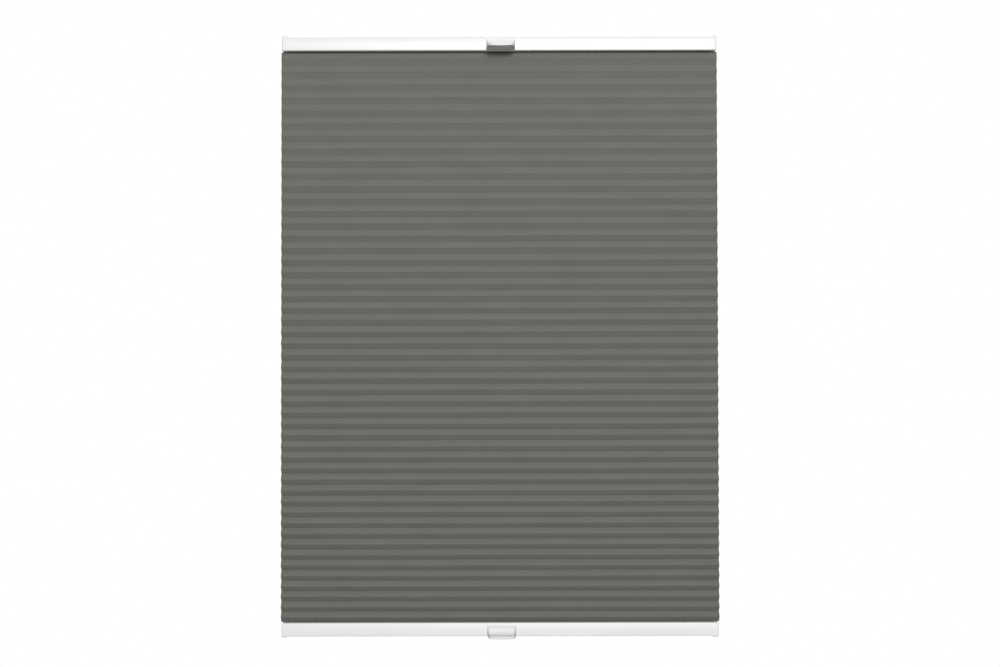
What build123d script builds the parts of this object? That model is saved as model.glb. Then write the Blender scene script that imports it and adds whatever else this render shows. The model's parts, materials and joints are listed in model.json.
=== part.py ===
from build123d import *
import math
import os

# A cellular pleated blind whose two rails hang on tension cords in a window, all in millimetres.
# X runs along the rails, -Y faces the room and +Z is up. The origin is the middle of the top rail's
# upper face. The bottom rail is the top rail turned over. Left is -X.

# The whole blind
blind_height = 684.0  # from the top rail's upper face to the bottom rail's lower face
fabric_width = 500.0
rail_inset = 1.5  # the fabric stands past each end of the rails by this

# Rails: one hollow aluminium extrusion, with a cord chamber and an open pocket for the fabric
rail_height = 15.2
rail_depth = 22.0
rail_wall = 1.1
rail_crown = 0.6  # bulge of the front and back faces
rail_outer_radius = 1.6  # long edges away from the fabric
rail_inner_radius = 0.8  # long edges beside the fabric
web_thickness = 1.0  # between the cord chamber and the pocket
slot_width = 9.0  # mouth of the pocket

# Honeycomb fabric: one row of cells, glued together along their length
cell_facet = 7.9  # from a glue line to a fold
glue_width = 4.0
cell_wall = 0.4
cell_openness = 0.845  # mean cell height over that of a cell pulled flat
top_cell_stretch = 1.13  # the top cell's height over the mean, from the weight below it
punch_clearance = 0.6  # round a cord, in the fabric and the strips

# Strips that hold the first and the last row of fabric in the rails
strip_thickness = 1.2
strip_gap = 0.2  # round a strip, inside its fabric sleeve
soft_gap = 0.3  # between fabric and a rail
end_gap = 1.0  # from a strip or a sleeve to an end cap

# End caps
cap_thickness = 5.5
cap_rise = 1.2  # a cap stands past the rail's outer face by this
cap_edge_radius = 1.2
cap_spigot_length = 8.0
outlet_radius = 1.1  # where a tension cord leaves the blind

# Cords, their guides, springs and stoppers
cord_radius = 0.55
cord_turn = 3.6  # radius of the cord round a guide's shoulder
cord_inset = 35.0  # from the fabric's side edge to a cord
cord_clearance = 0.4
cord_fit = 0.05  # round a cord that is fixed in a bore
guide_length = 12.0
nozzle_radius = 2.4
fit_gap = 0.1  # between a hard piece and the chamber that it is pushed into
anchor_place = 36.0  # from the rail's middle to a spring anchor's middle
anchor_length = 10.0
peg_length = 5.0
spring_length = 70.0
spring_radius = 2.1
spring_wire = 0.6
plug_shank = 5.0
plug_flange = 1.5
stopper_length = 5.0
stopper_radius = 1.9
seat_gap = 0.3  # between pieces that a cord pulls together

# Finger grips, one moulding for both rails
grip_offset = 2.0  # both grips are clipped on slightly right of the middle
grip_root_half = 16.5
grip_front_half = 14.6
grip_reach = 23.5  # from the rail's face to the lip
grip_height = 12.1
grip_plate = 1.6  # the plate on the rail's face
grip_corner = 5.0
grip_front_bulge = 0.9
grip_cheek = 1.3
grip_lip = 1.7
lip_height = 3.6
scoop_floor = 2.0
scoop_radius = 7.0
cheek_sag = 2.2  # hollow of the cheeks' upper edges
belly_radius = 110.0  # the underside's curve from side to side
underside_recess = 0.6
underside_border = 2.4
stud_radius = 1.2
stud_spread = 9.0
stud_depth = 3.0  # a stud's length behind the rail's face
grip_fit = 0.05

# Derived sizes
rail_length = fabric_width - 2 * rail_inset - 2 * cap_thickness
half_length = rail_length / 2
chamber_half = rail_depth / 2 - rail_crown - rail_wall
sleeve_height = strip_thickness + 2 * strip_gap + 2 * cell_wall
pocket_height = sleeve_height + 2 * soft_gap
pocket_top = rail_height - rail_wall - pocket_height
chamber_height = pocket_top - web_thickness - rail_wall
chamber_middle = rail_wall + chamber_height / 2
cord_place = fabric_width / 2 - cord_inset
punch_radius = cord_radius + punch_clearance
spring_bore = spring_radius - spring_wire
anchor_face = anchor_place + anchor_length / 2
spring_end = anchor_face + seat_gap + spring_length
plug_end = spring_end + seat_gap + plug_flange
stopper_start = cord_place + guide_length / 2 + seat_gap
fabric_height = blind_height - 2 * (rail_height + soft_gap) - cell_wall
cell_count = round(fabric_height / (2 * cell_facet * cell_openness))
mean_pitch = fabric_height / cell_count
middle = Plane.XY.offset(-blind_height / 2)


def across(points):
    """A closed outline across the blind, from (y, z) points."""
    return Wire.make_polygon([Vector(0, y, z) for y, z in points], close=True)


def long_block(length, y_half, z_low, z_high, x_middle=0.0):
    """A block centred on y = 0."""
    block = Box(length, 2 * y_half, z_high - z_low)
    return Pos(x_middle, 0, (z_low + z_high) / 2) * block


def along_x(radius, x_low, x_high):
    """A cylinder along the middle of the top rail's cord chamber."""
    turned = Rot(0, 90, 0) * Cylinder(radius, x_high - x_low)
    return Pos((x_low + x_high) / 2, 0, -chamber_middle) * turned


def punches(radius, z_low, z_high):
    """Two upright cylinders where the cords pass."""
    return [
        Pos(side * cord_place, 0, (z_low + z_high) / 2) * Cylinder(radius, z_high - z_low)
        for side in (-1, 1)
    ]


def turned_over(piece):
    """The same piece on the bottom rail."""
    return piece.solid().mirror(middle)


def other_side(piece):
    """The same piece at the right-hand end."""
    return piece.solid().mirror(Plane.YZ)


# Rails and end caps


def rail_outline(rise=0.0):
    """The rail's outer section, its outer face raised by rise."""
    half, edge = rail_depth / 2, rail_depth / 2 - rail_crown
    waist = (rise - rail_height) / 2
    with BuildSketch(Plane.YZ) as outline:
        with BuildLine():
            Line((-edge, rise), (edge, rise))
            ThreePointArc((edge, rise), (half, waist), (edge, -rail_height))
            Line((edge, -rail_height), (-edge, -rail_height))
            ThreePointArc((-edge, -rail_height), (-half, waist), (-edge, rise))
        make_face()
        fillet(outline.vertices().sort_by(Axis.Y)[:2], rail_inner_radius)
        fillet(outline.vertices().sort_by(Axis.Y)[-2:], rail_outer_radius)
    return outline.sketch


def opening(width, height, z_middle):
    """A rectangle to cut from the rail's section."""
    return Plane.YZ * Pos(0, z_middle) * Rectangle(width, height)


def top_rail():
    section = rail_outline() - opening(2 * chamber_half, chamber_height, -chamber_middle)
    section -= opening(2 * chamber_half, pocket_height, -pocket_top - pocket_height / 2)
    section -= opening(slot_width, 2 * rail_wall, -rail_height)
    shape = extrude(section, amount=half_length, both=True)
    for hole in punches(nozzle_radius + fit_gap, -pocket_top, -pocket_top + web_thickness):
        shape -= hole
    for side in (-1, 1):
        shape -= stud(side, grip_fit, -rail_height)
    return shape


def end_cap():
    """The top rail's left cap, with a spigot in the cord chamber and the outlet for a cord."""
    outer = -half_length - cap_thickness
    plate = extrude(Pos(X=outer) * rail_outline(cap_rise), amount=cap_thickness, dir=(1, 0, 0))
    plate = fillet(plate.faces().sort_by(Axis.X)[0].edges(), cap_edge_radius)
    spigot = long_block(
        cap_spigot_length,
        chamber_half - fit_gap,
        -chamber_middle - chamber_height / 2 + fit_gap,
        -rail_wall - fit_gap,
        -half_length + cap_spigot_length / 2,
    )
    bore_place = -half_length - cap_thickness / 2
    bore = Cylinder(outlet_radius, chamber_middle + cap_rise)
    upright = Pos(bore_place, 0, (cap_rise - chamber_middle) / 2) * bore
    level = along_x(outlet_radius, bore_place, -half_length + cap_spigot_length)
    return plate + spigot - upright - level - Pos(bore_place, 0, -chamber_middle) * Sphere(outlet_radius)


# Fabric and its strips


def cell_lines():
    """Heights of the glue lines, from the top down, with taller cells at the top."""
    line = -rail_height - soft_gap - cell_wall / 2
    lines = [line]
    for number in range(cell_count):
        fall = 1 - 2 * number / (cell_count - 1)
        line -= mean_pitch * (1 + (top_cell_stretch - 1) * fall)
        lines.append(line)
    return lines


def fold_place(pitch):
    """How far a fold stands out from y = 0 in a cell of this height."""
    return glue_width / 2 + math.sqrt(cell_facet**2 - (pitch / 2) ** 2)


def cell_hollow(high, low):
    """The inside outline of the cell between two glue lines."""
    pitch = high - low
    lean = cell_wall * cell_facet / (pitch / 2)
    fold = fold_place(pitch) - lean
    corner = glue_width / 2 - lean + cell_wall / pitch * (fold_place(pitch) - glue_width / 2)
    top, fold_height, bottom = high - cell_wall / 2, (high + low) / 2, low + cell_wall / 2
    right = [(corner, top), (fold, fold_height), (corner, bottom)]
    return across(right + [(-y, z) for y, z in reversed(right)])


def fabric_sleeve():
    """The fabric inside the top rail: a flat sleeve for the strip, on a neck through the slot."""
    bottom = -rail_height + rail_wall + soft_gap
    top = bottom + sleeve_height
    half = chamber_half - soft_gap
    neck_foot = cell_lines()[0] + cell_wall / 2
    length = rail_length - 2 * end_gap
    sleeve = long_block(length, half, bottom, top)
    sleeve += long_block(length, glue_width / 2, neck_foot, bottom)
    sleeve -= long_block(length, half - cell_wall, bottom + cell_wall, top - cell_wall)
    return sleeve - long_block(length, glue_width / 2 - cell_wall, neck_foot, bottom)


def honeycomb_fabric():
    lines = cell_lines()
    right = [(glue_width / 2, lines[0] + cell_wall / 2)]
    for high, low in zip(lines, lines[1:]):
        right += [(glue_width / 2, high), (fold_place(high - low), (high + low) / 2)]
    right += [(glue_width / 2, lines[-1]), (glue_width / 2, lines[-1] - cell_wall / 2)]
    outline = across(right + [(-y, z) for y, z in reversed(right)])
    section = Face(outline, [cell_hollow(high, low) for high, low in zip(lines, lines[1:])])
    cells = extrude(Pos(X=-fabric_width / 2) * section, amount=fabric_width, dir=(1, 0, 0))
    sleeve = fabric_sleeve()
    fabric = cells + sleeve + turned_over(sleeve)
    for hole in punches(punch_radius, -blind_height, 0):
        fabric -= hole
    return fabric


def fabric_strip():
    """The strip in the top rail's sleeve."""
    low = -rail_height + rail_wall + soft_gap + cell_wall + strip_gap
    half = chamber_half - soft_gap - cell_wall - strip_gap
    strip = long_block(rail_length - 2 * end_gap, half, low, low + strip_thickness)
    for hole in punches(punch_radius, low - 1, low + strip_thickness + 1):
        strip -= hole
    return strip


# Cords and what guides and holds them


def left_cord(radius):
    """The cord from the spring plug, down through the fabric and out to the stopper."""
    high, low = -chamber_middle, -blind_height + chamber_middle
    route = FilletPolyline(
        (-spring_end + plug_shank / 2, 0, high),
        (-cord_place, 0, high),
        (-cord_place, 0, low),
        (-stopper_start - stopper_length / 2, 0, low),
        radius=cord_turn,
    )
    return sweep(Plane(route @ 0, z_dir=route % 0) * Circle(radius), path=route)


def guide_block():
    """The top rail's left guide before its passage is cut: a block with a nozzle through the web."""
    floor = -pocket_top + web_thickness + fit_gap
    block = long_block(guide_length, chamber_half - fit_gap, floor, -rail_wall - fit_gap, -cord_place)
    nozzle = Pos(-cord_place, 0, (floor - pocket_top) / 2) * Cylinder(nozzle_radius, floor + pocket_top)
    return block + nozzle


def spring_anchor():
    """The top rail's left anchor: a block with a peg for the spring."""
    low, high = -pocket_top + web_thickness + fit_gap, -rail_wall - fit_gap
    block = long_block(anchor_length, chamber_half - fit_gap, low, high, -anchor_place)
    return block + along_x(spring_bore - cord_fit, -anchor_face - peg_length, -anchor_face)


def tension_spring():
    """A close-wound spring's envelope."""
    start, end = -spring_end, -anchor_face - seat_gap
    return along_x(spring_radius, start, end) - along_x(spring_bore, start, end)


def spring_plug():
    """Closes the spring's outer end and grips the cord."""
    plug = along_x(spring_bore - cord_fit, -spring_end - seat_gap, -spring_end + plug_shank)
    plug += along_x(spring_radius, -plug_end, -spring_end - seat_gap)
    return plug - along_x(cord_radius + cord_fit, -plug_end, -spring_end + plug_shank / 2)


def cord_stopper():
    """Crimped on the cord's lower end, outside the bottom rail's guide."""
    stopper = along_x(stopper_radius, -stopper_start - stopper_length, -stopper_start)
    bore = along_x(cord_radius + cord_fit, -stopper_start - stopper_length / 2, -stopper_start)
    return turned_over(stopper - bore)


# Finger grips


def stud(side, gap, rail_foot):
    """One of a grip's two studs, or with a gap the hole for it, on the rail that starts at rail_foot."""
    front, back = -rail_depth / 2 - grip_plate / 2, -rail_depth / 2 + stud_depth
    pin = Rot(90, 0, 0) * Cylinder(stud_radius + gap, back - front)
    return Pos(grip_offset + side * stud_spread, (front + back) / 2, rail_foot + rail_height / 2) * pin


def grip_plan(inset, reach):
    """A grip's outline from above: wide at the rail, with a bowed front and round corners."""
    root = -rail_depth / 2 + rail_crown
    front = -rail_depth / 2 - reach
    side = front + grip_front_bulge
    with BuildSketch(Plane.XY) as plan:
        with BuildLine():
            Line((-grip_root_half + inset, root), (grip_root_half - inset, root))
            Line((grip_root_half - inset, root), (grip_front_half - inset, side))
            ThreePointArc((grip_front_half - inset, side), (0, front), (-grip_front_half + inset, side))
            Line((-grip_front_half + inset, side), (-grip_root_half + inset, root))
        make_face()
        fillet(plan.vertices().sort_by(Axis.Y)[:2], grip_corner - inset)
    return plan.sketch


def grip_sides():
    """A grip's outline from the side: plate, hollow cheeks and lip."""
    root, plate = -rail_depth / 2 + rail_crown, -rail_depth / 2 - grip_plate
    front = -rail_depth / 2 - grip_reach
    cheek_foot = front + grip_corner
    bend = ((plate + cheek_foot) / 2, (grip_height + lip_height) / 2)
    slope = math.atan2(grip_height - lip_height, plate - cheek_foot)
    hollow = (bend[0] + cheek_sag * math.sin(slope), bend[1] - cheek_sag * math.cos(slope))
    with BuildSketch(Plane.YZ) as sides:
        with BuildLine():
            Polyline((cheek_foot, lip_height), (front, lip_height), (front, 0), (root, 0))
            Polyline((root, 0), (root, grip_height), (plate, grip_height))
            ThreePointArc((plate, grip_height), hollow, (cheek_foot, lip_height))
        make_face()
    return sides.sketch


def scoop_sides():
    """The scoop's outline from the side, round where the plate turns into the floor."""
    back, front = -rail_depth / 2 - grip_plate, -rail_depth / 2 - grip_reach + grip_lip
    with BuildSketch(Plane.YZ) as scoop:
        with BuildLine():
            Polyline(
                (front, grip_height), (front, scoop_floor), (back, scoop_floor), (back, grip_height), close=True
            )
        make_face()
        fillet(scoop.vertices().sort_by(Axis.Y)[:2].sort_by(Axis.X)[-1:], scoop_radius)
    return scoop.sketch


def grip(rail_foot):
    """The grip on the rail whose lower face is at rail_foot."""
    wide = 2 * grip_root_half
    depth = 2 * (rail_depth + grip_reach)
    body = extrude(grip_plan(0, grip_reach), amount=grip_height)
    body &= extrude(grip_sides(), amount=wide, both=True)
    scoop = extrude(grip_plan(grip_cheek, grip_reach - grip_lip), amount=grip_height)
    body -= scoop & extrude(scoop_sides(), amount=wide, both=True)
    belly = Pos(0, 0, belly_radius) * Rot(90, 0, 0) * Cylinder(belly_radius, depth)
    body &= belly
    recess = extrude(grip_plan(underside_border, grip_reach - underside_border), amount=grip_height / 4)
    recess = recess - Pos(0, 0, underside_recess) * belly
    recess &= Pos(0, -rail_depth / 2 - grip_plate - depth / 2, 0) * Box(wide, depth, grip_height)
    body -= recess
    body = Pos(grip_offset, 0, rail_foot) * body
    face = Pos(0, -grip_fit, rail_foot + rail_height) * extrude(rail_outline(), amount=wide, both=True)
    body -= face
    for side in (-1, 1):
        body += stud(side, 0, rail_foot)
    return body


rail = top_rail()
cap = end_cap()
strip = fabric_strip()
cord = left_cord(cord_radius)
passage = left_cord(cord_radius + cord_clearance)
top_guide = guide_block() - passage
bottom_guide = turned_over(guide_block()) - passage
left_pieces = {
    "top_cap": cap,
    "bottom_cap": turned_over(cap),
    "top_cord_guide": top_guide,
    "bottom_cord_guide": bottom_guide,
    "tension_cord": cord,
    "spring_anchor": spring_anchor(),
    "tension_spring": tension_spring(),
    "spring_plug": spring_plug(),
    "cord_stopper": cord_stopper(),
}
pieces = {
    "top_rail": rail,
    "bottom_rail": turned_over(rail),
    "honeycomb_fabric": honeycomb_fabric(),
    "top_fabric_strip": strip,
    "bottom_fabric_strip": turned_over(strip),
    "top_grip": grip(-rail_height),
    "bottom_grip": grip(-blind_height),
}
for name, piece in left_pieces.items():
    pieces[name + "_left"] = piece
    pieces[name + "_right"] = other_side(piece)

os.makedirs("parts", exist_ok=True)
for name, piece in pieces.items():
    export_step(piece, f"parts/{name}.step")
    print(name, round(piece.volume), "mm3")
print("cells", cell_count, "stacked", round(cell_count * 2 * cell_wall, 1), "mm")
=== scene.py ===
import json
import math
import bmesh
import bpy
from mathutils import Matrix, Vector, noise


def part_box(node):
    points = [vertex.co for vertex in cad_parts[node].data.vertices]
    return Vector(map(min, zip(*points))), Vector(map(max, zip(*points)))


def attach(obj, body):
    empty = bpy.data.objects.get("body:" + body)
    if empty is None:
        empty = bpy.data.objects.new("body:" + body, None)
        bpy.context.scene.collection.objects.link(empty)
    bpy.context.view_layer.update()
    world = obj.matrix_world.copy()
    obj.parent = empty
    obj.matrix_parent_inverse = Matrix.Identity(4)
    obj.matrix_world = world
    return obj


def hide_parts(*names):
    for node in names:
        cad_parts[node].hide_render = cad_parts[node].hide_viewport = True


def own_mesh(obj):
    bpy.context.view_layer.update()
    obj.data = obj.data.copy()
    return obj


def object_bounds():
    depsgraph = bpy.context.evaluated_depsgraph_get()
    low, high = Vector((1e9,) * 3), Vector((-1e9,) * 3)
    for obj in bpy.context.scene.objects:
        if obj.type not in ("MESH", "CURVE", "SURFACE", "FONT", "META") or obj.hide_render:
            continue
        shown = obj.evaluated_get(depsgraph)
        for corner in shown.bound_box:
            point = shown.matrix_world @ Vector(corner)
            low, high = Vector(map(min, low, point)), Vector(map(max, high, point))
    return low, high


# The looks of a honeycomb pleated blind, in metres, in the CAD model's frame: X along the rails,
# -Y towards the room, +Z up, the origin in the middle of the top rail's upper face.

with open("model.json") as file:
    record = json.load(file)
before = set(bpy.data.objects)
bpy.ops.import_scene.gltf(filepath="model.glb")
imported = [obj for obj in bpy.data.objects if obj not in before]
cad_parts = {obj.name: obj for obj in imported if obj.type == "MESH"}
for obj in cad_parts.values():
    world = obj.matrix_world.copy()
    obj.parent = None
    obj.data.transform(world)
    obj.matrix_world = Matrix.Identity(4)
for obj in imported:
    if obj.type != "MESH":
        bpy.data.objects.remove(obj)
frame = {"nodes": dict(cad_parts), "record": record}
cad_low, cad_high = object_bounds()

# Fabric
cell_count = 49
cell_facet = 0.0079  # from a glue line to a fold
glue_width = 0.004
cloth_thickness = 0.0003
top_cell_stretch = 1.13  # the top cell's height against the mean
rail_gap = 0.0003  # between the cloth and a rail
fold_bluntness = 0.03  # share of a facet's depth that the fold is rounded off by
fold_sharpness = 12  # the higher, the nearer to the fold the rounding starts
# Where a facet has tracks, as (share of the way to the fold, painted shade: how far the colour is
# darkened there to stand in for the shade just under each fold)
upper_marks = ((0.0, 0.0), (0.5, 0.0), (0.93, 0.0), (1.0, 0.0))
lower_marks = ((0.97, 1.0), (0.76, 0.9), (0.66, 0.0), (0.08, 0.0), (0.0, 0.0))
station_count = 34  # even places along X
cloth_crease = math.radians(25)  # sharper bends than this stay creases
wander = 0.00028  # how far folds stray from a straight line
fray = 0.00012  # unevenness of the cut side edges
# Seeds of the noise and its scales a metre: straying up and down, straying in and out, and fraying
drift_seed, drift_along, drift_down = 3.1, 7, 55
lift_seed, lift_along, lift_through, lift_down = 8.7, 11, 20, 70
fray_through, fray_down = 300, 400
slack_free = 0.010  # no straying this close to a rail
punch_radius = 0.00115
punch_margin = 0.002  # from a hole's middle to the points that border it
ring_points = 16  # two for each of the eight points that border a hole

# Sleeves in the rails
sleeve_half = 0.0090  # half its depth
sleeve_height = 0.0024
sleeve_rounding = 0.0002
rail_wall = 0.0011
sleeve_end_gap = 0.001
sleeve_cut = 0.0012  # half the cut-out in a sleeve for a cord

# Cords
cord_radius = 0.00055
cord_inset = 0.035  # from the fabric's side edge
cord_turn = 0.0036  # radius of a bend
cord_sides = 12
cord_crease = math.radians(50)
turn_steps = 8
plait_strands = 4.0  # round the cord
plait_pitch = 0.0011

top_rail_low, top_rail_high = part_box("top_rail")
bottom_rail_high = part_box("bottom_rail")[1]
half_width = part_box("honeycomb_fabric")[1].x
cord_place = half_width - cord_inset
first_line = top_rail_low.z - rail_gap - cloth_thickness / 2
last_line = bottom_rail_high.z + rail_gap + cloth_thickness / 2

# Floor, light and camera
floor_radius = 1.2
floor_drop = 0.5  # below the blind
floor_corners = 96
fade_start, fade_end = 0.15, 0.95  # shares of the floor's radius
horizon_blend = 0.6  # the light from round the set changes up to this height of its direction
camera_place = (0.0003, -1.7205, -0.410)
camera_rise, camera_roll = 1.020, 0.110  # degrees
camera_shift = 0.035
lens_length, sensor_width = 54, 36  # mm


# Meshes


def new_piece(name, points, faces, finish, crease_angle):
    """A mesh object with smooth facets and sharp creases, its faces turned outwards."""
    mesh = bpy.data.meshes.new(name)
    mesh.from_pydata(points, [], faces)
    shape = bmesh.new()
    shape.from_mesh(mesh)
    bmesh.ops.recalc_face_normals(shape, faces=shape.faces)
    shape.to_mesh(mesh)
    shape.free()
    mesh.polygons.foreach_set("use_smooth", [True] * len(mesh.polygons))
    mesh.set_sharp_from_angle(angle=crease_angle)
    mesh.materials.append(finish)
    piece = bpy.data.objects.new(name, mesh)
    bpy.context.scene.collection.objects.link(piece)
    return piece


def add_attribute(piece, name, kind, field, values):
    """Values on the piece's points, for its material to read."""
    attribute = piece.data.attributes.new(name, kind, "POINT")
    attribute.data.foreach_set(field, values)


# Materials


class Finish:
    """A node material that starts from a Principled shader."""

    def __init__(self, name, colour, roughness, **sockets):
        self.material = bpy.data.materials.new(name)
        self.material.use_nodes = True
        self.tree = self.material.node_tree
        self.shader = self.tree.nodes["Principled BSDF"]
        self.shader.inputs["Base Color"].default_value = (*colour, 1)
        self.shader.inputs["Roughness"].default_value = roughness
        for socket, value in sockets.items():
            self.shader.inputs[socket.replace("_", " ")].default_value = value

    def node(self, kind, inputs=(), **settings):
        made = self.tree.nodes.new("ShaderNode" + kind)
        for setting, value in settings.items():
            setattr(made, setting, value)
        for socket, value in dict(inputs).items():
            if isinstance(value, bpy.types.NodeSocket):
                self.tree.links.new(value, made.inputs[socket])
            else:
                made.inputs[socket].default_value = value
        return made

    def place(self):
        """The shaded point, in the piece's own coordinates."""
        return self.node("TexCoord").outputs["Object"]

    def attribute(self, name):
        return self.node("Attribute", attribute_name=name)

    def noise(self, place, scale, detail=2.0, roughness=0.5, stretch=(1, 1, 1)):
        mapped = self.node("Mapping", {"Vector": place, "Scale": stretch}).outputs["Vector"]
        inputs = {"Vector": mapped, "Scale": scale, "Detail": detail, "Roughness": roughness}
        return self.node("TexNoise", inputs).outputs["Fac"]

    def remap(self, value, low, high, from_low=0.3, from_high=0.7):
        inputs = {"Value": value, "To Min": low, "To Max": high}
        inputs |= {"From Min": from_low, "From Max": from_high}
        return self.node("MapRange", inputs).outputs["Result"]

    def math(self, operation, first, second):
        return self.node("Math", {0: first, 1: second}, operation=operation).outputs["Value"]

    def shade(self, colour, factor):
        """The colour times a factor that varies over the surface."""
        channels = {"Red": factor, "Green": factor, "Blue": factor}
        tone = self.node("CombineColor", channels).outputs["Color"]
        # Mix gives several sockets the same name, so its colour sockets go by number.
        inputs = {0: 1.0, 6: (*colour, 1), 7: tone}
        return self.node("Mix", inputs, data_type="RGBA", blend_type="MULTIPLY").outputs[2]

    def bump(self, height, distance, strength):
        inputs = {"Height": height, "Distance": distance, "Strength": strength}
        return self.node("Bump", inputs).outputs["Normal"]

    def use(self, socket, value):
        self.tree.links.new(value, self.shader.inputs[socket])


def powder_coat():
    """Satin white powder coat on aluminium, with a faint orange peel."""
    colour = (0.80, 0.80, 0.795)
    finish = Finish("painted_rail", colour, 0.34)
    place = finish.place()
    peel = finish.noise(place, scale=620, detail=1.5)
    cloud = finish.noise(place, scale=14, detail=3)
    finish.use("Base Color", finish.shade(colour, finish.remap(cloud, low=0.985, high=1.01)))
    finish.use("Roughness", finish.remap(peel, low=0.31, high=0.38))
    finish.use("Normal", finish.bump(peel, distance=0.00001, strength=0.6))
    return finish.material


def moulded_plastic(name, colour, roughness, grain):
    """White moulded plastic with the fine texture of its mould."""
    finish = Finish(name, colour, roughness)
    place = finish.place()
    texture = finish.noise(place, scale=grain, detail=2)
    flow = finish.noise(place, scale=90, detail=3, stretch=(0.4, 1, 1))
    finish.use("Base Color", finish.shade(colour, finish.remap(flow, low=0.982, high=1.008)))
    finish.use("Roughness", finish.remap(texture, low=roughness - 0.04, high=roughness + 0.05))
    finish.use("Normal", finish.bump(texture, distance=0.000012, strength=0.5))
    return finish.material


def pleated_cloth():
    """Matte grey non-woven polyester, with painted shade just under its folds, and darker at its
    sealed side edges.
    """
    colour = (0.150, 0.1465, 0.1305)
    finish = Finish("pleated_fabric", colour, 0.88, Sheen_Weight=0.05, Sheen_Roughness=0.5)
    cloth = finish.attribute("cloth").outputs["Vector"]
    along, upright = (0.35, 1, 1), (1, 0.35, 1)  # the way that the fibres are drawn out
    clouds = finish.noise(cloth, scale=55, detail=4, roughness=0.6, stretch=along)
    fibres = finish.noise(cloth, scale=1500, detail=3, roughness=0.65, stretch=along)
    crossing = finish.noise(cloth, scale=1300, detail=3, roughness=0.65, stretch=upright)
    halves = [finish.math("MULTIPLY", layer, 0.5) for layer in (fibres, crossing)]
    web = finish.math("ADD", *halves)
    cloudy = finish.remap(clouds, low=0.965, high=1.035)
    fibrous = finish.remap(web, low=0.9, high=1.1)
    tone = finish.math("MULTIPLY", cloudy, fibrous)
    # Painted shade: the colour is darkened just under each fold, where shade falls.
    fold_tone = finish.attribute("fold_tone").outputs["Fac"]
    painted_fold_darkening = finish.remap(fold_tone, low=1.0, high=0.93, from_low=0.0, from_high=1.0)
    tone = finish.math("MULTIPLY", tone, painted_fold_darkening)
    across = finish.node("SeparateXYZ", {"Vector": cloth}).outputs["X"]
    edge = finish.math("ABSOLUTE", across, 0.0)
    seal_start, seal_end = half_width - 0.0011, half_width - 0.0006
    sealed = finish.remap(edge, low=1.0, high=0.72, from_low=seal_start, from_high=seal_end)
    tone = finish.math("MULTIPLY", tone, sealed)
    finish.use("Base Color", finish.shade(colour, tone))
    finish.use("Normal", finish.bump(web, distance=0.00006, strength=0.55))
    return finish.material


def braided_cord():
    """Off-white braided polyester, with painted shade in the grooves of its plait."""
    colour = (0.62, 0.62, 0.59)
    finish = Finish("cord_fibre", colour, 0.7)
    run = finish.attribute("run").outputs["Vector"]
    parts = finish.node("SeparateXYZ", {"Vector": run}).outputs
    around = finish.math("MULTIPLY", parts["X"], plait_strands)
    along = finish.math("MULTIPLY", parts["Y"], 1 / plait_pitch)
    waves = []
    for way in ("ADD", "SUBTRACT"):
        turns = finish.math("MULTIPLY", finish.math(way, around, along), math.tau)
        waves.append(finish.math("SINE", turns, 0.0))
    plait = finish.math("MULTIPLY", *waves)
    # Painted shade: the colour darkens in the plait's grooves, where the bump sinks.
    tone = finish.remap(plait, low=0.8, high=1.0, from_low=-1.0, from_high=1.0)
    finish.use("Base Color", finish.shade(colour, tone))
    finish.use("Normal", finish.bump(plait, distance=0.00008, strength=0.8))
    return finish.material


def metal(name, colour, roughness, wire):
    """Bare metal with fine lines round it."""
    finish = Finish(name, colour, roughness, Metallic=1.0)
    place = finish.place()
    lines = finish.noise(place, scale=wire, detail=1, stretch=(1, 0.05, 0.05))
    finish.use("Roughness", finish.remap(lines, low=roughness - 0.05, high=roughness + 0.08))
    finish.use("Normal", finish.bump(lines, distance=0.00003, strength=0.6))
    return finish.material


def floor_finish():
    """Pale floor that fades out to clear towards its edge, where the white round the set shows."""
    colour = (0.82, 0.82, 0.81)
    finish = Finish("floor", colour, 0.6)
    place = finish.place()
    speckle = finish.noise(place, scale=40, detail=4)
    finish.use("Base Color", finish.shade(colour, finish.remap(speckle, low=0.99, high=1.01)))
    distance = finish.node("VectorMath", {0: place}, operation="LENGTH").outputs["Value"]
    inputs = {"Value": distance}
    inputs |= {"From Min": floor_radius * fade_start, "From Max": floor_radius * fade_end}
    fade = finish.node("MapRange", inputs, interpolation_type="SMOOTHSTEP").outputs["Result"]
    clear = finish.node("BsdfTransparent").outputs["BSDF"]
    inputs = {0: fade, 1: finish.shader.outputs["BSDF"], 2: clear}
    blended = finish.node("MixShader", inputs).outputs["Shader"]
    output = finish.tree.nodes["Material Output"]
    finish.tree.links.new(blended, output.inputs["Surface"])
    return finish.material


cloth_finish = pleated_cloth()
cord_finish = braided_cord()
finishes = {
    "painted_rail": powder_coat(),
    "cap_plastic": moulded_plastic("cap_plastic", (0.79, 0.79, 0.785), 0.42, 2600),
    "grip_plastic": moulded_plastic("grip_plastic", (0.73, 0.73, 0.725), 0.52, 1800),
    "strip_plastic": moulded_plastic("strip_plastic", (0.70, 0.70, 0.69), 0.5, 900),
    "guide_plastic": moulded_plastic("guide_plastic", (0.74, 0.74, 0.72), 0.45, 1500),
    "pleated_fabric": cloth_finish,
    "spring_steel": metal("spring_steel", (0.55, 0.55, 0.54), 0.3, 1600),
    "stopper_metal": metal("stopper_metal", (0.66, 0.52, 0.28), 0.35, 700),
    "cord_fibre": cord_finish,
}
for subpart in frame["record"]["subparts"]:
    for slot in frame["nodes"][subpart["node"]].material_slots:
        slot.material = finishes[subpart["material_slot"]]


# The cells


def glue_lines():
    """Heights of the glue lines, from the top down, with taller cells at the top."""
    mean_pitch = (first_line - last_line) / cell_count
    line = first_line
    lines = [line]
    for number in range(cell_count):
        fall = 1 - 2 * number / (cell_count - 1)
        line -= mean_pitch * (1 + (top_cell_stretch - 1) * fall)
        lines.append(line)
    return lines


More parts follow.
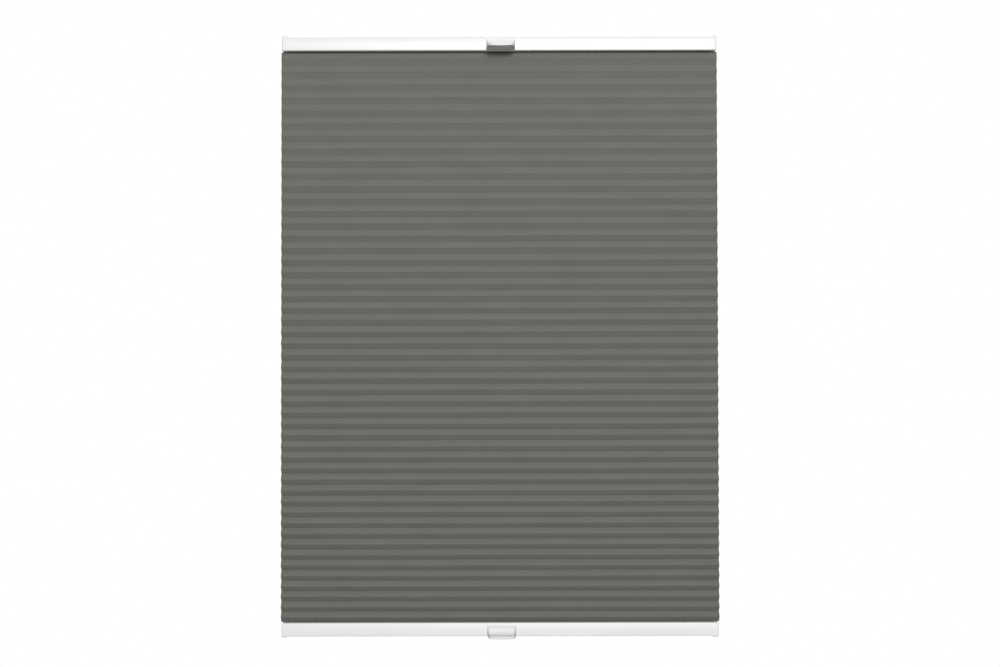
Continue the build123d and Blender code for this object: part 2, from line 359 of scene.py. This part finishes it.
def stations():
    """Places along X: three at each cord for its punched hole, and even ones clear of those."""
    punched = [side * cord_place + step * punch_margin for side in (-1, 1) for step in (-1, 0, 1)]
    even = [half_width * (2 * i / station_count - 1) for i in range(station_count + 1)]
    spacing = 2 * half_width / station_count
    return sorted(punched + [x for x in even if min(abs(x - p) for p in punched) > spacing / 3])


def bulge(share):
    """A facet's depth at this share of the way from the glue line to the fold."""
    return share - fold_bluntness * share**fold_sharpness


class Honeycomb:
    """Points in tracks that run along X, and the faces between them."""

    def __init__(self):
        self.x = stations()
        self.starts = [self.x.index(side * cord_place - punch_margin) for side in (-1, 1)]
        self.points, self.cloth, self.fold_tone, self.faces = [], [], [], []

    def add(self, x, y, z, run, fold_tone):
        self.points.append((x, y, z))
        self.cloth += [x, run, y]
        self.fold_tone.append(fold_tone)
        return len(self.points) - 1

    def track(self, y, z, run, fold_tone=0.0):
        """A line of points along X. Its run is its place along the cloth, down a side."""
        return [self.add(x, y, z, run, fold_tone) for x in self.x]

    def glue_face(self, z):
        """The three tracks of the comb's uppermost or lowest face."""
        return [self.track(y, z, y) for y in (-glue_width / 2, 0, glue_width / 2)]

    def join(self, first, second, skip=()):
        """Faces between two tracks, except at the steps in skip."""
        for i in range(len(self.x) - 1):
            if i not in skip:
                self.faces.append((first[i], first[i + 1], second[i + 1], second[i]))

    def ends(self, *tracks):
        """A face over the tracks' last points, at each side edge."""
        for end in (0, -1):
            self.faces.append(tuple(track[end] for track in tracks))

    def facet(self, side, high, low, run):
        """The outer and inner tracks of one side of a cell, from upper to lower glue line."""
        half = (high - low) / 2
        depth = math.sqrt(cell_facet**2 - half**2)
        lean = cloth_thickness * cell_facet / half
        middle = (high + low) / 2
        outer, inner = [], []
        for down, marks in ((1, upper_marks), (-1, lower_marks)):
            # each track carries the painted shade that darkens the colour just under the fold
            for share, fold_tone in marks:
                place = run + cell_facet * (1 - down * (1 - share))
                z = middle + down * half * (1 - share)
                y = glue_width / 2 + depth * bulge(share)
                outer.append(self.track(side * y, z, place, fold_tone))
                z = middle + down * (half - cloth_thickness / 2) * (1 - share)
                reach = 1 - abs(z - middle) / half
                y = glue_width / 2 + depth * bulge(reach) - lean
                inner.append(self.track(side * y, z, place, fold_tone))
        return outer, inner

    def strip(self, upper, lower):
        """The glued strip between two rows of three tracks, with its punched holes."""
        skip = [start + i for start in self.starts for i in (0, 1)]
        for row in (upper, lower):
            self.join(row[0], row[1], skip)
            self.join(row[1], row[2], skip)
        for start in self.starts:
            rings = [self.ring(row, start) for row in (upper, lower)]
            for i in range(ring_points):
                after = (i + 1) % ring_points
                self.faces.append((rings[0][i], rings[0][after], rings[1][after], rings[1][i]))
        self.ends(upper[0], upper[1], lower[1], lower[0])
        self.ends(upper[1], upper[2], lower[2], lower[1])

    def ring(self, row, start):
        """A round hole in a strip, between the tracks in row, and the faces round it."""
        front, middle, back = row
        first_corner = -0.75 * math.pi
        border = [front[start], front[start + 1], front[start + 2], middle[start + 2]]
        border += [back[start + 2], back[start + 1], back[start], middle[start]]
        centre = Vector(self.points[middle[start + 1]])
        ring = []
        for i in range(ring_points):
            angle = math.tau * i / ring_points + first_corner
            x = centre.x + punch_radius * math.cos(angle)
            y = punch_radius * math.sin(angle)
            ring.append(self.add(x, y, centre.z, centre.z + y, 0.0))
        for i, corner in enumerate(border):
            after = border[(i + 1) % len(border)]
            far = ring[(2 * i + 2) % ring_points]
            self.faces.append((corner, after, far, ring[2 * i + 1], ring[2 * i]))
        return ring

    def settle(self, lines):
        """Lets the folds stray a little and the cut edges be uneven."""
        for i, (x, y, z) in enumerate(self.points):
            free = min(1.0, max(0.0, min(lines[0] - z, z - lines[-1])) / slack_free)
            out = math.copysign(max(0.0, abs(y) - glue_width / 2), y) / cell_facet
            drift = noise.noise(Vector((x * drift_along, drift_seed, z * drift_down)))
            swell = Vector((x * lift_along, lift_seed + y * lift_through, z * lift_down))
            lift = noise.noise(swell)
            ragged = 0.0
            if abs(x) > half_width - fray:
                ragged = noise.noise(Vector((z * fray_down, y * fray_through, x)))
            z += free * drift * wander
            self.points[i] = (x + ragged * fray, y + out * lift * wander, z)


def fabric_cells():
    """The comb of cells, from the glue line under the top rail to the one over the bottom rail."""
    lines = glue_lines()
    comb = Honeycomb()
    top = comb.glue_face(lines[0] + cloth_thickness / 2)
    valleys = [comb.track(side * glue_width / 2, lines[0], 0.0) for side in (-1, 1)]
    comb.join(top[0], valleys[0])
    comb.join(top[2], valleys[1])
    above = top
    for number, (high, low) in enumerate(zip(lines, lines[1:])):
        run = 2 * cell_facet * number
        # The back's run starts a width further on, so that the two sides look different.
        sides = [comb.facet(side, high, low, run + (side + 1) * half_width) for side in (-1, 1)]
        for (outer, inner), valley in zip(sides, valleys):
            outer[0] = valley
            for rows in (outer, inner):
                for first, second in zip(rows, rows[1:]):
                    comb.join(first, second)
            for i in range(len(outer) - 1):
                comb.ends(outer[i], outer[i + 1], inner[i + 1], inner[i])
        inner_high, inner_low = high - cloth_thickness / 2, low + cloth_thickness / 2
        centre = [comb.track(0, z, run) for z in (inner_high, inner_low)]
        ceiling = [sides[0][1][0], centre[0], sides[1][1][0]]
        comb.strip(above, ceiling)
        comb.ends(above[0], ceiling[0], valleys[0])
        comb.ends(above[2], ceiling[2], valleys[1])
        above = [sides[0][1][-1], centre[1], sides[1][1][-1]]
        valleys = [outer[-1] for outer, inner in sides]
    foot = comb.glue_face(lines[-1] - cloth_thickness / 2)
    comb.join(foot[0], valleys[0])
    comb.join(foot[2], valleys[1])
    comb.strip(above, foot)
    comb.ends(above[0], foot[0], valleys[0])
    comb.ends(above[2], foot[2], valleys[1])
    comb.settle(lines)
    piece = new_piece("fabric_cells", comb.points, comb.faces, cloth_finish, cloth_crease)
    add_attribute(piece, "cloth", "FLOAT_VECTOR", "vector", comb.cloth)
    add_attribute(piece, "fold_tone", "FLOAT", "value", comb.fold_tone)
    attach(piece, "top_rail_body")
    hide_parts("honeycomb_fabric")
    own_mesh(piece)


fabric_cells()


# The sleeves that hold the fabric in the rails


def sleeve_outline(inset):
    """Half of a sleeve's section, from the foot of its neck to its top, as (y, height)."""
    floor = rail_gap + rail_wall + rail_gap
    neck, wide = glue_width / 2 - inset, sleeve_half - inset
    low, high = floor + inset, floor + sleeve_height - inset
    corner = sleeve_rounding
    half = [(neck, 0.0), (neck, low - corner), (neck + corner, low), (wide - corner, low)]
    return half + [(wide, low + corner), (wide, high - corner), (wide - corner, high)]


def fabric_sleeve(name, body, line, up):
    """A flat sleeve, cut out at the cords, with a neck from a glue line up or down into a rail."""
    length = top_rail_high.x - sleeve_end_gap
    cuts = [side * cord_place + step * sleeve_cut for side in (-1, 1) for step in (-1, 1)]
    stops = [-length, *cuts, length]
    points, faces, cloth, loops = [], [], [], []
    for inset in (0.0, cloth_thickness):
        half = sleeve_outline(inset)
        loops.append(half + [(-y, z) for y, z in reversed(half)])
    count = len(loops[0])
    for left, right in zip(stops[::2], stops[1::2]):
        start = len(points)
        for x in (left, right):
            for loop in loops:
                for y, height in loop:
                    points.append((x, y, line + up * (cloth_thickness / 2 + height)))
                    cloth += [x, height + abs(y), y]
        outer_left, inner_left, outer_right, inner_right = (start + k * count for k in range(4))
        pairs = [(outer_left, outer_right), (inner_left, inner_right)]
        pairs += [(outer_left, inner_left), (outer_right, inner_right)]
        for i in range(count - 1):
            for one, other in pairs:
                faces.append((one + i, one + i + 1, other + i + 1, other + i))
        for i in (0, count - 1):
            faces.append((outer_left + i, inner_left + i, inner_right + i, outer_right + i))
    piece = new_piece(name, points, faces, cloth_finish, cloth_crease)
    add_attribute(piece, "cloth", "FLOAT_VECTOR", "vector", cloth)
    add_attribute(piece, "fold_tone", "FLOAT", "value", [0.0] * len(points))
    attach(piece, body)
    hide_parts("honeycomb_fabric")


fabric_sleeve("fabric_top_sleeve", "top_rail_body", first_line, 1)
fabric_sleeve("fabric_bottom_sleeve", "bottom_rail_body", last_line, -1)


# The cords


def cord_route(side, low, high):
    """The cord's line as (x, z): the upper bend, the straight and the lower bend."""
    near, far = (low.x, high.x) if side > 0 else (high.x, low.x)
    top, bottom = high.z - cord_radius, low.z + cord_radius
    drop = side * cord_place
    upper, lower = [(near, top)], []
    for step in range(turn_steps + 1):
        angle = math.pi / 2 * step / turn_steps
        opening, closing = cord_turn * (1 - math.cos(angle)), cord_turn * (1 - math.sin(angle))
        upper.append((drop - side * closing, top - opening))
        lower.append((drop + side * opening, bottom + closing))
    lower.append((far, bottom))
    return upper, [upper[-1], lower[0]], lower


def cord_part(name, node, body, line, length):
    """A part of a cord that starts this far along the whole cord, and how far along it ends."""
    points, faces, run = [], [], []
    for i, (x, z) in enumerate(line):
        before, after = line[max(i - 1, 0)], line[min(i + 1, len(line) - 1)]
        along = Vector((after[0] - before[0], 0, after[1] - before[1])).normalized()
        across = Vector((-along.z, 0, along.x))
        length += math.dist((x, z), before)
        for j in range(cord_sides):
            angle = math.tau * j / cord_sides
            rim = across * math.cos(angle) + Vector((0, 1, 0)) * math.sin(angle)
            points.append(Vector((x, 0, z)) + rim * cord_radius)
            run += [abs(2 * j / cord_sides - 1), length, 0.0]
    for i in range(len(line) - 1):
        for j in range(cord_sides):
            k = (j + 1) % cord_sides
            ring, next_ring = i * cord_sides, (i + 1) * cord_sides
            faces.append((ring + j, ring + k, next_ring + k, next_ring + j))
    last = (len(line) - 1) * cord_sides
    faces.append(tuple(range(cord_sides)))
    faces.append(tuple(last + j for j in range(cord_sides)))
    piece = new_piece(name, points, faces, cord_finish, cord_crease)
    add_attribute(piece, "run", "FLOAT_VECTOR", "vector", run)
    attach(piece, body)
    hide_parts(node)
    return piece, length


def tension_cord(word, side):
    """One cord in three parts: the upper bend and the straight ride on the top rail's body, the
    lower bend on the bottom rail's body. The straight one gets a mesh of its own.
    """
    node = f"tension_cord_{word}"
    upper, straight, lower = cord_route(side, *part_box(node))
    length = cord_part(f"cord_{word}_top", node, "top_rail_body", upper, 0.0)[1]
    piece, length = cord_part(f"cord_{word}_run", node, "top_rail_body", straight, length)
    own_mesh(piece)
    cord_part(f"cord_{word}_bottom", node, "bottom_rail_body", lower, length)


tension_cord("left", -1)
tension_cord("right", 1)


# Floor, light and camera


def floor():
    """A plate below the blind."""
    place = (0, 0, cad_low.z - floor_drop)
    add = bpy.ops.mesh.primitive_circle_add
    add(vertices=floor_corners, radius=floor_radius, fill_type="NGON", location=place)
    plate = bpy.context.object
    plate.name = "floor"
    plate.data.materials.append(floor_finish())


def area_light(name, place, target, size, power):
    """A square or oblong light, unseen by the camera."""
    lamp = bpy.data.lights.new(name, "AREA")
    lamp.shape = "RECTANGLE"
    lamp.size, lamp.size_y = size
    lamp.energy = power
    light = bpy.data.objects.new(name, lamp)
    light.location = place
    light.rotation_euler = (Vector(target) - Vector(place)).to_track_quat("-Z", "Y").to_euler()
    light.visible_camera = False
    bpy.context.scene.collection.objects.link(light)


def surroundings(seen, below, above):
    """White round the set, and softer light that is weaker from below."""
    world = bpy.data.worlds.new("studio")
    bpy.context.scene.world = world
    world.use_nodes = True
    tree = world.node_tree
    background = tree.nodes["Background"]
    place = tree.nodes.new("ShaderNodeTexCoord").outputs["Generated"]
    parts = tree.nodes.new("ShaderNodeSeparateXYZ")
    tree.links.new(place, parts.inputs["Vector"])
    light = tree.nodes.new("ShaderNodeMapRange")
    limits = {"From Min": -horizon_blend, "From Max": horizon_blend}
    limits |= {"To Min": below, "To Max": above}
    for socket, value in limits.items():
        light.inputs[socket].default_value = value
    tree.links.new(parts.outputs["Z"], light.inputs["Value"])
    ray = tree.nodes.new("ShaderNodeLightPath")
    chosen = tree.nodes.new("ShaderNodeMix")
    chosen.inputs["B"].default_value = seen
    tree.links.new(ray.outputs["Is Camera Ray"], chosen.inputs["Factor"])
    tree.links.new(light.outputs["Result"], chosen.inputs["A"])
    tree.links.new(chosen.outputs["Result"], background.inputs["Strength"])
    background.inputs["Color"].default_value = (1, 1, 1, 1)


def camera():
    """Below the middle of the blind, looking slightly up, with a small shift to frame it."""
    lens = bpy.data.cameras.new("camera")
    lens.lens = lens_length
    lens.sensor_width = sensor_width
    lens.shift_y = camera_shift
    eye = bpy.data.objects.new("camera", lens)
    eye.location = camera_place
    eye.rotation_euler = (math.radians(90 + camera_rise), math.radians(camera_roll), 0)
    bpy.context.scene.collection.objects.link(eye)
    bpy.context.scene.camera = eye


middle = (cad_low + cad_high) / 2
key_place = (0.3, -3.8, middle.z + 0.95)
back_place = (-0.6, 3.0, middle.z + 1.3)
floor()
area_light("key", key_place, middle, size=(1.0, 1.0), power=117)
area_light("back", back_place, middle, size=(1.2, 1.2), power=60)
surroundings(seen=1.0, below=0.16, above=0.38)
camera()
bpy.context.scene.view_settings.view_transform = "Standard"
